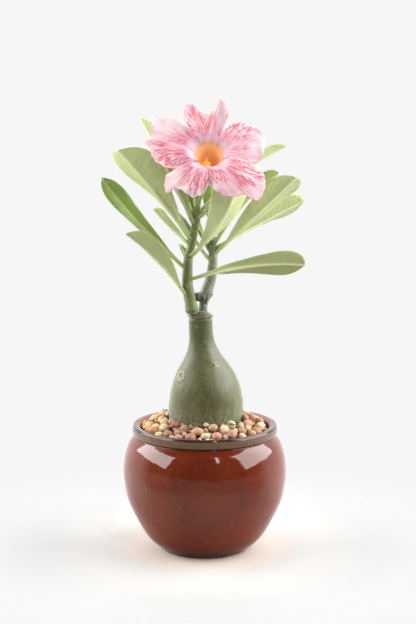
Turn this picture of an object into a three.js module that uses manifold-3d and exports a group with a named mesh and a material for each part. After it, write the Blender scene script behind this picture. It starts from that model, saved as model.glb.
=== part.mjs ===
// A potted desert rose (adenium): a swollen trunk in a round glazed pot, two leafy
// stems and one five-lobed bloom. Millimetres, +Z up, with the origin on the surface
// that the pot stands on, on the pot's axis. -Y is the side that the bloom faces.
import * as THREE from 'three';
import { mergeVertices } from 'three/addons/utils/BufferGeometryUtils.js';
import Module from 'manifold-3d';

const wasm = await Module();
wasm.setup();

// ---- Driving dimensions ----------------------------------------------------------

const GAP = 0.35; // room left between pieces that touch
const SLIVER = 0.02; // how far a face may move to close up a sliver
const POT_SIDES = 36;

const POT_HEIGHT = 79;
const BELLY_RADIUS = 51.4;
const BELLY_HEIGHT = 51;
const RIM_RADIUS = 45.3;
const RIM_INNER_RADIUS = 40;
const NECK_RADIUS = 43.8;
const FOOT_RADIUS = 27;
const FOOT_RECESS_RADIUS = 20;
const FOOT_RECESS = 2.5;
const DRAIN_RADIUS = 5;
const WALL = 3.8;
const FLOOR_TOP = 7;

const SOIL_TOP = 71;
const GRAVEL_TOP = 76.5; // the middle of a pebble beside the rim
const GRAVEL_HEAP = 4.2; // how much higher a pebble beside the trunk stands
const GRAVEL_SEED = 20;
const PEBBLE_RINGS = [27.6, 32.2, 36.4]; // radii that the pebbles lie on
const PEBBLE_SPACING = 7.9;
const PEBBLE_LEAST = 2.4; // radii of the smallest and the biggest pebble
const PEBBLE_MOST = 3.6;

const CAUDEX_RADIUS = 23.3;
const NECK_TOP = 149;
const NECK_LEAN = -2.9; // the neck stands this far to -X of the pot's axis

const LEAF_THICKNESS = 0.8;
const PETIOLE_HALF_WIDTH = 1.4;

const MOUTH = new THREE.Vector3(2.8, -24, 249.8); // centre of the bloom's throat
const BLOOM_RISE = 37; // degrees that the bloom looks up by
const THROAT_RADIUS = 8.6;
const TUBE_LENGTH = 27;
const TUBE_FOOT_RADIUS = 2.6;
const PETAL_THICKNESS = 0.8;
const RUFFLE = 1.7; // how far a lobe's edge waves in and out
const STAMEN_LENGTH = 20;
const SEPAL_COUNT = 5;

// ---- Small tools -----------------------------------------------------------------

const radians = THREE.MathUtils.degToRad;
const mix = THREE.MathUtils.lerp;
const smooth = THREE.MathUtils.smoothstep;

// The same random numbers on every run.
function seededRandom(seed) {
  let state = seed;
  return () => {
    state = (state + 0x6d2b79f5) | 0;
    let mixed = Math.imul(state ^ (state >>> 15), 1 | state);
    mixed = (mixed + Math.imul(mixed ^ (mixed >>> 7), 61 | mixed)) ^ mixed;
    return ((mixed ^ (mixed >>> 14)) >>> 0) / 4294967296;
  };
}

// A closed geometry as a solid: its faces come to share their corners.
function asSolid(geometry) {
  const bare = geometry.clone();
  bare.deleteAttribute('normal');
  bare.deleteAttribute('uv');
  const merged = mergeVertices(bare);
  const vertProperties = new Float32Array(merged.attributes.position.array);
  const triVerts = new Uint32Array(merged.index.array);
  return new wasm.Manifold(new wasm.Mesh({ numProp: 3, vertProperties, triVerts }));
}

function asGeometry(solid) {
  const { vertProperties, triVerts } = solid.getMesh();
  const geometry = new THREE.BufferGeometry();
  geometry.setAttribute('position', new THREE.BufferAttribute(vertProperties, 3));
  geometry.setIndex(new THREE.BufferAttribute(triVerts, 1));
  geometry.computeVertexNormals();
  return geometry;
}

// Keeps the biggest body, and drops the crumbs and slivers that a cut leaves.
function biggest(solid) {
  const bodies = solid.simplify(SLIVER).decompose();
  return bodies.reduce((best, body) => (body.volume() > best.volume() ? body : best));
}

function joined(solids) {
  return solids.reduce((whole, solid) => whole.add(solid));
}

// A body turned round +Z from a closed profile of [radius, height] points.
function turned(profile, sides) {
  const points = profile.map(([radius, height]) => new THREE.Vector2(radius, height));
  const first = points[0];
  const last = points[points.length - 1];
  if (first.x > 0 || last.x > 0) {
    points.push(first.clone());
  }
  const geometry = new THREE.LatheGeometry(points, sides);
  geometry.rotateX(Math.PI / 2);
  return asSolid(geometry);
}

// A closed round body: a cylinder whose rings are set on a curve. radius(along, around)
// gives its radius, and margin makes it bigger all round, ends included.
function swept(curve, sides, steps, radius, margin = 0) {
  const across = new THREE.Vector3(0, 1, 0); // never along any curve that is swept
  const geometry = new THREE.CylinderGeometry(1, 1, 1, sides, steps);
  const position = geometry.attributes.position;
  const point = new THREE.Vector3();
  for (let i = 0; i < position.count; i += 1) {
    point.fromBufferAttribute(position, i);
    const along = point.y + 0.5;
    const around = Math.atan2(point.z, point.x);
    const reach = Math.hypot(point.x, point.z) * (radius(along, around) + margin);
    const beyond = margin * (Number(along > 0.999) - Number(along < 0.001));
    const tangent = curve.getTangent(along);
    const right = new THREE.Vector3().crossVectors(across, tangent).normalize();
    const front = new THREE.Vector3().crossVectors(right, tangent).normalize();
    point.copy(curve.getPoint(along)).addScaledVector(tangent, beyond);
    point.addScaledVector(right, reach * Math.cos(around));
    point.addScaledVector(front, reach * Math.sin(around));
    position.setXYZ(i, point.x, point.y, point.z);
  }
  return asSolid(geometry);
}

// A thin closed sheet. place(along, across) gives its upper and its lower point, and
// both faces are split by the same diagonals.
function sheet(rows, columns, place) {
  const grid = new THREE.PlaneGeometry(1, 1, columns, rows);
  const upper = [];
  const lower = [];
  for (let row = 0; row <= rows; row += 1) {
    for (let column = 0; column <= columns; column += 1) {
      const [top, bottom] = place(row / rows, column / columns);
      upper.push(...top.toArray());
      lower.push(...bottom.toArray());
    }
  }
  const under = upper.length / 3;
  const width = columns + 1;
  const index = [...grid.index.array];
  for (let i = 0; i < grid.index.count; i += 3) {
    const [a, b, c] = grid.index.array.slice(i, i + 3);
    index.push(under + c, under + b, under + a);
  }
  const edge = [];
  for (let column = columns; column > 0; column -= 1) {
    edge.push(column);
  }
  for (let row = 0; row < rows; row += 1) {
    edge.push(row * width);
  }
  for (let column = 0; column < columns; column += 1) {
    edge.push(rows * width + column);
  }
  for (let row = rows; row > 0; row -= 1) {
    edge.push(row * width + columns);
  }
  edge.forEach((from, i) => {
    const to = edge[(i + 1) % edge.length];
    index.push(to, from, under + from, to, under + from, under + to);
  });
  const geometry = new THREE.BufferGeometry();
  geometry.setAttribute('position', new THREE.Float32BufferAttribute([...upper, ...lower], 3));
  geometry.setIndex(index);
  return asSolid(geometry);
}

// ---- Pot, soil and gravel --------------------------------------------------------

// The pot's outside from the foot to the rim, through its widest ring.
const potOutside = new THREE.SplineCurve([
  new THREE.Vector2(FOOT_RADIUS, 0),
  new THREE.Vector2(BELLY_RADIUS - 15.5, 8),
  new THREE.Vector2(BELLY_RADIUS - 8.7, 19.2),
  new THREE.Vector2(BELLY_RADIUS - 3.3, 31),
  new THREE.Vector2(BELLY_RADIUS - 0.6, 43),
  new THREE.Vector2(BELLY_RADIUS, BELLY_HEIGHT),
  new THREE.Vector2(BELLY_RADIUS - 1.2, 60),
  new THREE.Vector2(BELLY_RADIUS - 4, 68),
  new THREE.Vector2(NECK_RADIUS, 72.5),
]);

function potOutsideRadius(height) {
  let low = 0;
  let high = 1;
  for (let i = 0; i < 30; i += 1) {
    const middle = (low + high) / 2;
    if (potOutside.getPoint(middle).y < height) {
      low = middle;
    } else {
      high = middle;
    }
  }
  return potOutside.getPoint(low).x;
}

// The inside wall's [radius, height] points from the floor up to a height, drawn in
// by a gap. They stand at the same heights for the pot and for the soil in it.
const WALL_HEIGHTS = [12, 20, 30, 42, 54, 64, SOIL_TOP, 73.5];

function potInside(top, gap) {
  const heights = [FLOOR_TOP + gap, ...WALL_HEIGHTS.filter((height) => height <= top)];
  return heights.map((height) => [potOutsideRadius(height) - WALL - gap, height]);
}

function makePot() {
  const outside = potOutside.getPoints(13).map((point) => [point.x, point.y]);
  const inside = potInside(POT_HEIGHT, 0).reverse();
  return turned([
    [FOOT_RECESS_RADIUS, 0],
    ...outside,
    [RIM_RADIUS - 0.4, 73.6],
    [RIM_RADIUS, 76],
    [RIM_RADIUS - 0.3, POT_HEIGHT - 0.9],
    [RIM_RADIUS - 1.3, POT_HEIGHT],
    [RIM_INNER_RADIUS + 1, POT_HEIGHT - 0.5],
    [RIM_INNER_RADIUS, POT_HEIGHT - 1.6],
    ...inside,
    [DRAIN_RADIUS, FLOOR_TOP],
    [DRAIN_RADIUS, FOOT_RECESS],
    [FOOT_RECESS_RADIUS - 1, FOOT_RECESS],
  ], POT_SIDES);
}

function makeSoil(trunkRoom) {
  const body = turned([
    [0, FLOOR_TOP + GAP],
    ...potInside(SOIL_TOP, GAP),
    [0, SOIL_TOP],
  ], POT_SIDES);
  return biggest(body.subtract(trunkRoom));
}

// Pebbles in rings between the trunk and the rim, sunk into one bed. They heap up
// towards the trunk.
function makeGravel(trunkRoom) {
  const outer = RIM_INNER_RADIUS - GAP;
  const foot = SOIL_TOP + GAP;
  const bedTop = GRAVEL_TOP + 3.5;
  const above = POT_HEIGHT + 9;
  const room = turned([[0, foot], [outer, foot], [outer, above], [0, above]], POT_SIDES);
  const bed = turned([
    [0, foot],
    [outer, foot],
    [outer, GRAVEL_TOP - 1],
    [CAUDEX_RADIUS + 0.7, bedTop],
    [0, bedTop],
  ], POT_SIDES / 2);
  const random = seededRandom(GRAVEL_SEED);
  const pebbles = [];
  for (const ring of PEBBLE_RINGS) {
    const count = Math.round((2 * Math.PI * ring) / PEBBLE_SPACING);
    for (let i = 0; i < count; i += 1) {
      const angle = ((i + 0.6 * random()) / count) * 2 * Math.PI;
      const radius = ring + 1.2 * (random() - 0.5);
      const size = mix(PEBBLE_LEAST, PEBBLE_MOST, random());
      const level = mix(GRAVEL_TOP + GRAVEL_HEAP, GRAVEL_TOP, (radius - 26) / 12);
      const height = level + 1.2 * random();
      const pebble = new THREE.IcosahedronGeometry(size, 0);
      pebble.scale(1, mix(0.7, 1, random()), mix(0.65, 0.9, random()));
      pebble.rotateZ(2 * Math.PI * random());
      pebble.translate(radius * Math.cos(angle), radius * Math.sin(angle), height);
      pebbles.push(asSolid(pebble));
    }
  }
  return biggest(joined([bed, ...pebbles]).intersect(room).subtract(trunkRoom));
}

// ---- Trunk and stems -------------------------------------------------------------

// [radius, height] up the trunk, from the root's point in the soil to the neck.
const caudexOutline = new THREE.SplineCurve([
  new THREE.Vector2(4, 38),
  new THREE.Vector2(13, 50),
  new THREE.Vector2(20.5, 64),
  new THREE.Vector2(CAUDEX_RADIUS - 0.7, 78),
  new THREE.Vector2(CAUDEX_RADIUS, 91),
  new THREE.Vector2(CAUDEX_RADIUS - 1.7, 103),
  new THREE.Vector2(17.4, 113.5),
  new THREE.Vector2(11.4, 123),
  new THREE.Vector2(8.5, 131),
  new THREE.Vector2(7.7, 140),
  new THREE.Vector2(7.3, 146),
  new THREE.Vector2(5, NECK_TOP),
]);

const caudexAxis = new THREE.CatmullRomCurve3(
  caudexOutline.points.map(({ y }) => new THREE.Vector3(NECK_LEAN * smooth(y, 108, 146), 0, y)),
);

function makeCaudex(margin = 0) {
  return swept(caudexAxis, 22, 19, (along, around) => {
    const lobes = 1 + 0.02 * Math.cos(3 * around + 0.8) + 0.012 * Math.cos(5 * around);
    return caudexOutline.getPoint(along).x * lobes;
  }, margin);
}

const stems = {
  left: {
    curve: new THREE.CatmullRomCurve3([
      new THREE.Vector3(-6.2, -3.4, 148.9),
      new THREE.Vector3(-7.8, -4, 153.6),
      new THREE.Vector3(-9.2, -4.1, 158.5),
      new THREE.Vector3(-10.6, -3.6, 167),
      new THREE.Vector3(-10.5, -3, 176),
      new THREE.Vector3(-9.8, -2.5, 184),
      new THREE.Vector3(-8.2, -2, 191),
      new THREE.Vector3(-6.6, -2, 199),
      new THREE.Vector3(-5.3, -2, 207.5),
      new THREE.Vector3(-4.3, -2, 215.5),
    ], false, 'catmullrom'),
    // a round elbow at the foot, then an even taper
    radius: (along) => mix(3.7, 2.5, smooth(along, 0.2, 0.8))
      + 0.9 * (smooth(along, -0.06, 0.05) - smooth(along, 0.05, 0.2)),
  },
  right: {
    curve: new THREE.CatmullRomCurve3([
      new THREE.Vector3(-1.2, 1.8, 146.5),
      new THREE.Vector3(-0.8, 1.8, 154),
      new THREE.Vector3(0.9, 2.6, 161),
      new THREE.Vector3(2.9, 4, 167),
      new THREE.Vector3(4.3, 5, 173),
      new THREE.Vector3(5, 6, 180),
      new THREE.Vector3(5, 7, 187),
      new THREE.Vector3(4.6, 7.5, 193.5),
    ], false, 'catmullrom'),
    // slim at the foot, thickest where an old shoot was lost, then a taper
    radius: (along) => mix(3.9, 2.5, smooth(along, 0.35, 1)) - 1.1 * (1 - smooth(along, 0.12, 0.3)),
  },
};

const STEM_CAP = 0.965; // past this the stem's end closes in

function makeStem({ curve, radius }, margin = 0) {
  return swept(curve, 10, 18, (along) => {
    const end = Math.max(0, (along - STEM_CAP) / (1 - STEM_CAP));
    return radius(along) * (1 - 0.4 * end * end);
  }, margin);
}

// ---- Leaves ----------------------------------------------------------------------

// Each leaf: its stem, the share of the stem's length where it grows, the heading it
// takes (degrees round +Z from +X) and its rise above level, its length and half
// width, how far it bends down (droop) towards the tip, how far its blade is rolled
// about the midrib, and how deep its two halves fold up from the midrib.
const leaves = [
  { stem: 'left', at: 0.73, heading: 196, rise: 53, length: 71, half: 15.5, droop: 6, roll: 36, fold: 30 },
  { stem: 'left', at: 0.462, heading: 162, rise: 39, length: 77, half: 7.6, droop: -14, roll: -35, fold: 22 },
  { stem: 'left', at: 0.26, heading: 205, rise: 51, length: 57, half: 12, droop: 16, roll: 18, fold: 34 },
  { stem: 'left', at: 0.69, heading: 172, rise: 38, length: 31, half: 5, droop: -12, roll: 40, fold: 35 },
  { stem: 'left', at: 0.5, heading: 108, rise: 30, length: 18, half: 3, droop: -10, roll: 30, fold: 30 },
  { stem: 'left', at: 0.574, heading: 318, rise: 36, length: 68, half: 13, droop: -46, roll: -20, fold: 24 },
  { stem: 'right', at: 0.83, heading: 340, rise: 42, length: 71, half: 12, droop: -2, roll: -34, fold: 20 },
  { stem: 'right', at: 0.9, heading: 20, rise: 25, length: 66, half: 10.5, droop: 2, roll: -46, fold: 20 },
  { stem: 'left', at: 0.384, heading: 354, rise: 17, length: 72, half: 8.6, droop: 28, roll: -64, fold: 10 },
  { stem: 'left', at: 0.91, heading: 150, rise: 57, length: 67, half: 13, droop: 0, roll: 34, fold: 24 },
  { stem: 'left', at: 0.945, heading: 33, rise: 41, length: 76, half: 9.5, droop: 22, roll: -20, fold: 24 },
  { stem: 'right', at: 0.975, heading: 344, rise: 56, length: 60, half: 10.5, droop: 24, roll: 20, fold: 24 },
  { stem: 'left', at: 0.86, heading: 200, rise: 64, length: 50, half: 11, droop: 0, roll: 30, fold: 26 },
  { stem: 'left', at: 0.98, heading: 100, rise: 70, length: 43, half: 10, droop: 0, roll: 0, fold: 20 },
  { stem: 'left', at: 0.91, heading: 344, rise: 33, length: 34, half: 6, droop: -4, roll: -20, fold: 24 },
  { stem: 'right', at: 0.85, heading: 160, rise: 56, length: 32, half: 6, droop: -16, roll: 0, fold: 24 },
  { stem: 'right', at: 0.74, heading: 176, rise: 48, length: 36, half: 6, droop: -16, roll: 0, fold: 24 },
  { stem: 'right', at: 0.935, heading: 90, rise: 64, length: 50, half: 8, droop: 10, roll: 0, fold: 24 },
];

const LEAF_ROWS = 9;
const LEAF_COLUMNS = 4;
const MIDRIB_STEPS = 40;
const WAVE_DEPTH = 0.09; // of the half width
const WAVE_TURNS = 9; // radians of wave along a blade
const MIDRIB_RIDGE = 1.6; // extra thickness of the midrib at the stalk
const MIDRIB_TIP_RIDGE = 0.3; // and at the tip

// Half the blade's width, as a share of its greatest half width: a stalk that widens
// slowly, is broadest at three quarters of its length, and ends in a short point.
function bladeOutline(along) {
  return 3.5 * along ** 1.7 * (1 - along) ** 0.55;
}

// The midrib as points from the stem to the tip, each with its direction.
function midrib({ stem, at, heading, rise, length, droop }) {
  const turn = radians(heading);
  const level = new THREE.Vector3(Math.cos(turn), Math.sin(turn), 0);
  const start = stems[stem].curve.getPoint(at).addScaledVector(level, 1.2);
  const points = [{ point: start, pitch: radians(rise) }];
  for (let i = 1; i <= MIDRIB_STEPS; i += 1) {
    const pitch = radians(rise - droop * ((i - 0.5) / MIDRIB_STEPS) ** 1.5);
    const step = new THREE.Vector3(0, 0, Math.sin(pitch)).addScaledVector(level, Math.cos(pitch));
    const point = points[i - 1].point.clone().addScaledVector(step, length / MIDRIB_STEPS);
    points.push({ point, pitch });
  }
  return points;
}

function makeLeaf(leaf, number) {
  const points = midrib(leaf);
  const turn = radians(leaf.heading);
  const level = new THREE.Vector3(Math.cos(turn), Math.sin(turn), 0);
  const side = new THREE.Vector3(-Math.sin(turn), Math.cos(turn), 0);
  const blade = sheet(LEAF_ROWS, LEAF_COLUMNS, (row, column) => {
    const along = 1 - (1 - row) ** 1.5;
    const across = 2 * column - 1;
    const exact = along * MIDRIB_STEPS;
    const before = Math.min(Math.floor(exact), MIDRIB_STEPS - 1);
    const from = points[before];
    const to = points[before + 1];
    const point = from.point.clone().lerp(to.point, exact - before);
    const pitch = mix(from.pitch, to.pitch, exact - before);
    const upward = new THREE.Vector3(0, 0, Math.cos(pitch)).addScaledVector(level, -Math.sin(pitch));
    const roll = radians(leaf.roll) * smooth(along, 0, 0.35);
    const sideways = side.clone().multiplyScalar(Math.cos(roll)).addScaledVector(upward, Math.sin(roll));
    const normal = upward.clone().multiplyScalar(Math.cos(roll)).addScaledVector(side, -Math.sin(roll));
    const stalk = PETIOLE_HALF_WIDTH * (1 - along) + LEAF_THICKNESS / 2;
    const half = Math.max(stalk, leaf.half * bladeOutline(along));
    const fold = radians(leaf.fold) * smooth(along, 0.05, 0.4) * (1 - 0.4 * along);
    const wave = WAVE_DEPTH * half * across * across * Math.sin(WAVE_TURNS * along + number + 2 * across);
    const ridge = (1 - Math.abs(across)) * mix(MIDRIB_RIDGE, MIDRIB_TIP_RIDGE, along);
    point.addScaledVector(sideways, across * half * Math.cos(fold));
    point.addScaledVector(normal, Math.abs(across) * half * Math.sin(fold) + wave);
    return [
      point.clone().addScaledVector(normal, LEAF_THICKNESS / 2),
      point.clone().addScaledVector(normal, -LEAF_THICKNESS / 2 - ridge),
    ];
  });
  return biggest(blade.subtract(makeStem(stems[leaf.stem], GAP)));
}

// ---- Bloom -----------------------------------------------------------------------

const bloomFacing = new THREE.Vector3(0, -Math.cos(radians(BLOOM_RISE)), Math.sin(radians(BLOOM_RISE)));
const bloomUp = new THREE.Vector3(0, Math.sin(radians(BLOOM_RISE)), Math.cos(radians(BLOOM_RISE)));

// Each lobe: the way it points round the throat (degrees, 0 towards +X, 90 up), how
// far its tip is from the throat's centre, its half width, how far it curls back and
// how high its right-hand shoulder stands up.
const lobes = [
  { turn: 159, reach: 40, half: 17.5, curl: 4, crest: 0, phase: 0 },
  { turn: 95, reach: 31, half: 15.5, curl: -1, crest: 5.6, phase: 1.9 },
  { turn: 19, reach: 36.5, half: 14.5, curl: 3, crest: 0, phase: 3.1 },
  { turn: -42, reach: 39.5, half: 17, curl: 2, crest: 0, phase: 4.4 },
  { turn: -126, reach: 31.5, half: 16, curl: 3, crest: 0, phase: 5.5 },
];

const lobeHalfWidth = new THREE.SplineCurve([
  new THREE.Vector2(0, 0.42),
  new THREE.Vector2(0.25, 0.76),
  new THREE.Vector2(0.5, 0.98),
  new THREE.Vector2(0.7, 1),
  new THREE.Vector2(0.88, 0.76),
  new THREE.Vector2(1, 0.18),
]);

// Places a point of the bloom: right and up in the plane of its face, out along its axis.
function bloomPoint(right, up, out) {
  const point = MOUTH.clone();
  point.x += right;
  point.addScaledVector(bloomUp, up);
  point.addScaledVector(bloomFacing, out);
  return point;
}

function makeLobe({ turn, reach, half, curl, crest, phase }) {
  const angle = radians(turn);
  const root = THROAT_RADIUS - 1.2;
  return sheet(8, 6, (row, column) => {
    const across = 2 * column - 1;
    const outline = lobeHalfWidth.getPoint(row);
    const shoulder = crest * smooth(-across, 0, 1) * row * row;
    const distance = mix(root, reach, outline.x) - 2.5 * across * across * row + shoulder;
    const aside = across * half * outline.y;
    const dip = -3.2 * (1 - smooth(row, 0, 0.28));
    const wave = Math.sin(4.2 * row * Math.sign(across) + phase + 3 * across);
    const ruffle = RUFFLE * row * Math.abs(across) * outline.y * wave;
    const lap = 1.1 * across * outline.y * smooth(row, 0.1, 0.5);
    const out = dip + ruffle + lap + shoulder - curl * row * row;
    const right = distance * Math.cos(angle) - aside * Math.sin(angle);
    const up = distance * Math.sin(angle) + aside * Math.cos(angle);
    return [
      bloomPoint(right, up, out),
      bloomPoint(right, up, out - PETAL_THICKNESS),
    ];
  });
}

const bloomTurn = new THREE.Matrix4().makeBasis(
  new THREE.Vector3(1, 0, 0),
  bloomUp,
  bloomFacing,
).setPosition(MOUTH);

// Turned round the bloom's own axis: heights are measured out from the throat.
function turnedInBloom(profile, sides) {
  return turned(profile, sides).transform(bloomTurn.toArray());
}

const TUBE_SIDES = 15;
const tubeOutside = [
  [TUBE_FOOT_RADIUS, -TUBE_LENGTH],
  [TUBE_FOOT_RADIUS + 0.8, -TUBE_LENGTH + 5],
  [5.2, -TUBE_LENGTH + 10],
  [6.9, -10],
  [7.9, -5],
  [THROAT_RADIUS + 0.9, -1.6],
];

function makeCorolla() {
  const inside = tubeOutside.map(([radius, height]) => [radius - PETAL_THICKNESS, height + 0.6]);
  const tube = turnedInBloom([
    [0, -TUBE_LENGTH],
    ...tubeOutside,
    ...inside.reverse(),
    [0, -TUBE_LENGTH + PETAL_THICKNESS],
  ], TUBE_SIDES);
  return biggest(joined([tube, ...lobes.map(makeLobe)]));
}

// Five anthers that lean together in a cone, with their long thin tails.
function makeStamens() {
  const foot = -TUBE_LENGTH + PETAL_THICKNESS + GAP;
  const cone = turnedInBloom([
    [0, foot],
    [1.1, foot],
    [1.3, foot + 0.25 * STAMEN_LENGTH],
    [2.6, foot + 0.4 * STAMEN_LENGTH],
    [0.6, foot + 0.8 * STAMEN_LENGTH],
    [0, foot + 0.82 * STAMEN_LENGTH],
  ], 10);
  const tails = [0, 1, 2, 3, 4].map((i) => {
    const angle = (i / 5) * 2 * Math.PI;
    const path = new THREE.LineCurve3(
      bloomPoint(0.6 * Math.cos(angle), 0.6 * Math.sin(angle), foot + 0.55 * STAMEN_LENGTH),
      bloomPoint(2.4 * Math.cos(angle), 2.4 * Math.sin(angle), foot + STAMEN_LENGTH),
    );
    return swept(path, 4, 1, (along) => mix(0.8, 0.4, along));
  });
  return biggest(joined([cone, ...tails]));
}

// The cup that the bloom's tube stands in, its five sepals and its stalk.
function makeCalyx() {
  const cupTop = -TUBE_LENGTH + 2.5;
  const cup = turnedInBloom([
    [0, -TUBE_LENGTH - 3],
    [1.6, -TUBE_LENGTH - 2.6],
    [3.9, -TUBE_LENGTH],
    [4.2, cupTop],
    [3.3, cupTop],
    [TUBE_FOOT_RADIUS + GAP + 0.1, -TUBE_LENGTH - GAP],
    [0, -TUBE_LENGTH - GAP],
  ], TUBE_SIDES);
  const sepals = [];
  for (let i = 0; i < SEPAL_COUNT; i += 1) {
    const angle = radians(90) + (i / SEPAL_COUNT) * 2 * Math.PI;
    const path = new THREE.LineCurve3(
      bloomPoint(4.3 * Math.cos(angle), 4.3 * Math.sin(angle), cupTop - 1.7),
      bloomPoint(8.2 * Math.cos(angle), 8.2 * Math.sin(angle), cupTop + 6),
    );
    sepals.push(swept(path, 5, 2, (along) => mix(1, 0.35, along)));
  }
  const stalk = new THREE.CatmullRomCurve3([
    new THREE.Vector3(-4.2, -2.2, 214),
    new THREE.Vector3(-3.2, -3.2, 219.5),
    new THREE.Vector3(-0.6, -2.4, 225.5),
    bloomPoint(0, 0, -TUBE_LENGTH - 1.6),
  ]);
  const pedicel = swept(stalk, 7, 6, (along) => mix(1.7, 1.5, along));
  return biggest(joined([cup, ...sepals, pedicel]).subtract(makeStem(stems.left, GAP)));
}

// ---- The whole plant -------------------------------------------------------------

const looks = {
  glaze: new THREE.MeshStandardMaterial({ color: 0x6e2a1e, roughness: 0.15, metalness: 0 }),
  soil: new THREE.MeshStandardMaterial({ color: 0x33261c, roughness: 0.95, metalness: 0 }),
  pebbles: new THREE.MeshStandardMaterial({ color: 0xb98d6c, roughness: 0.8, metalness: 0 }),
  bark: new THREE.MeshStandardMaterial({ color: 0x6f7350, roughness: 0.8, metalness: 0 }),
  greenBark: new THREE.MeshStandardMaterial({ color: 0x6e7d4b, roughness: 0.7, metalness: 0 }),
  leaf: new THREE.MeshStandardMaterial({ color: 0x93a25e, roughness: 0.55, metalness: 0 }),
  petal: new THREE.MeshStandardMaterial({ color: 0xf2a9bb, roughness: 0.6, metalness: 0 }),
  sepal: new THREE.MeshStandardMaterial({ color: 0x8ea060, roughness: 0.6, metalness: 0 }),
  anther: new THREE.MeshStandardMaterial({ color: 0xf0b040, roughness: 0.6, metalness: 0 }),
};

const plant = new THREE.Group();

function place(name, solid, look) {
  const mesh = new THREE.Mesh(asGeometry(solid), look.clone());
  mesh.name = name;
  plant.add(mesh);
}

const trunkRoom = makeCaudex(GAP);
place('pot', makePot(), looks.glaze);
place('potting_soil', makeSoil(trunkRoom), looks.soil);
place('gravel', makeGravel(trunkRoom), looks.pebbles);
place('caudex', makeCaudex(), looks.bark);
place('stem_left', biggest(makeStem(stems.left).subtract(trunkRoom)), looks.greenBark);
place('stem_right', biggest(makeStem(stems.right).subtract(trunkRoom)), looks.greenBark);
leaves.forEach((leaf, i) => {
  const number = String(i + 1).padStart(2, '0');
  place(`leaf_${number}`, makeLeaf(leaf, i), looks.leaf);
});
place('corolla', makeCorolla(), looks.petal);
place('stamens', makeStamens(), looks.anther);
place('calyx', makeCalyx(), looks.sepal);

export default plant;
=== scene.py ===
"""A potted desert rose: glazed pot, pebbles, trunk, stems, leaves and one bloom.

Forms are worked out in millimetres from the part's own driving dimensions, in the CAD
frame, and become metres as each mesh is made. -Y is the side that the bloom faces.
"""

import random
from functools import cache, partial
from math import copysign, cos, exp, hypot, pi, radians, sin, sqrt, tau

import bpy
import bmesh
from mathutils import Matrix, Vector, noise


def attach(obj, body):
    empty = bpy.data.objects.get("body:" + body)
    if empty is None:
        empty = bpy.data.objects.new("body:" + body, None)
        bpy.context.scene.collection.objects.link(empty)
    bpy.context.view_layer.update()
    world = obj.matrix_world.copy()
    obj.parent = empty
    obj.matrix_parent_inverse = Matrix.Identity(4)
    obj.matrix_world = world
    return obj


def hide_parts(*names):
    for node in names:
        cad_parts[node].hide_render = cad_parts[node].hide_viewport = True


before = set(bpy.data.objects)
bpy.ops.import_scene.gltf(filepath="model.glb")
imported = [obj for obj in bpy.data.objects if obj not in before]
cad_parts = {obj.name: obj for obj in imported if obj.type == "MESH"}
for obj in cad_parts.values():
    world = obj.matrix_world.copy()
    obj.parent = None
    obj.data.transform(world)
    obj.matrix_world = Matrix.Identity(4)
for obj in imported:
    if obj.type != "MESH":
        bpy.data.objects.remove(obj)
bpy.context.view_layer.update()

MM = 0.001

# ---- Driving dimensions, as in the CAD source (millimetres, degrees) ----

GAP = 0.35  # room left between pieces that touch

POT_HEIGHT = 79
BELLY_RADIUS = 51.4
RIM_RADIUS = 45.3
RIM_INNER_RADIUS = 40
NECK_RADIUS = 43.8
FOOT_RADIUS = 27
FOOT_RECESS_RADIUS = 20
FOOT_RECESS = 2.5
DRAIN_RADIUS = 5
WALL = 3.8
FLOOR_TOP = 7
SOIL_TOP = 71
GRAVEL_TOP = 76.5
GRAVEL_HEAP = 4.2

CAUDEX_RADIUS = 23.3
NECK_TOP = 149
NECK_LEAN = -2.9

LEAF_THICKNESS = 0.8
PETIOLE_HALF_WIDTH = 1.4

MOUTH = Vector((2.8, -24, 249.8))
BLOOM_RISE = 37
THROAT_RADIUS = 8.6
TUBE_LENGTH = 27
TUBE_FOOT_RADIUS = 2.6
PETAL_THICKNESS = 0.8

# ---- Small maths ----


def mix(low, high, share):
    return low + (high - low) * share


def smooth(value, low, high):
    share = min(1, max(0, (value - low) / (high - low)))
    return share * share * (3 - 2 * share)


def bump(value, middle, width):
    """A soft hill: 1 at middle, falling away over width."""
    return exp(-(((value - middle) / width) ** 2))


def turned(turn, degrees):
    """How far turn (radians) is round from degrees, from -pi to pi."""
    return (turn - radians(degrees) + pi) % tau - pi


def level_at(turn):
    """A level unit vector, turn radians round from +X towards +Y."""
    return Vector((cos(turn), sin(turn), 0))


def spline(points, share, reach_past_ends=False):
    """A uniform Catmull-Rom curve through points, share from 0 to 1."""
    last = len(points) - 1
    place = min(max(share, 0), 1) * last
    i = min(int(place), last - 1)
    t = place - i
    p1, p2 = Vector(points[i]), Vector(points[i + 1])
    first = 2 * p1 - p2 if reach_past_ends else p1
    final = 2 * p2 - p1 if reach_past_ends else p2
    p0 = Vector(points[i - 1]) if i > 0 else first
    p3 = Vector(points[i + 2]) if i + 2 <= last else final
    v0, v1 = (p2 - p0) / 2, (p3 - p1) / 2
    cubic = (2 * p1 - 2 * p2 + v0 + v1) * t**3
    return cubic + (-3 * p1 + 3 * p2 - 2 * v0 - v1) * t * t + v0 * t + p1


def rough(point, scale, seed=0.0):
    """Smooth noise from -1 to 1 whose lumps are about scale millimetres wide."""
    return noise.noise(Vector(point) / scale + Vector((seed, 0, 0)))


def add_object(name, data):
    made = bpy.data.objects.new(name, data)
    bpy.context.scene.collection.objects.link(made)
    return made


# ---- Camera ----

CAMERA_PLACE = Vector((0.002, -1.0, 0.3136))
CAMERA_TARGET = Vector((0.002, 0.0, 0.1496))
CAMERA_LENS = 94.615
SENSOR_WIDTH = 36


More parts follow.
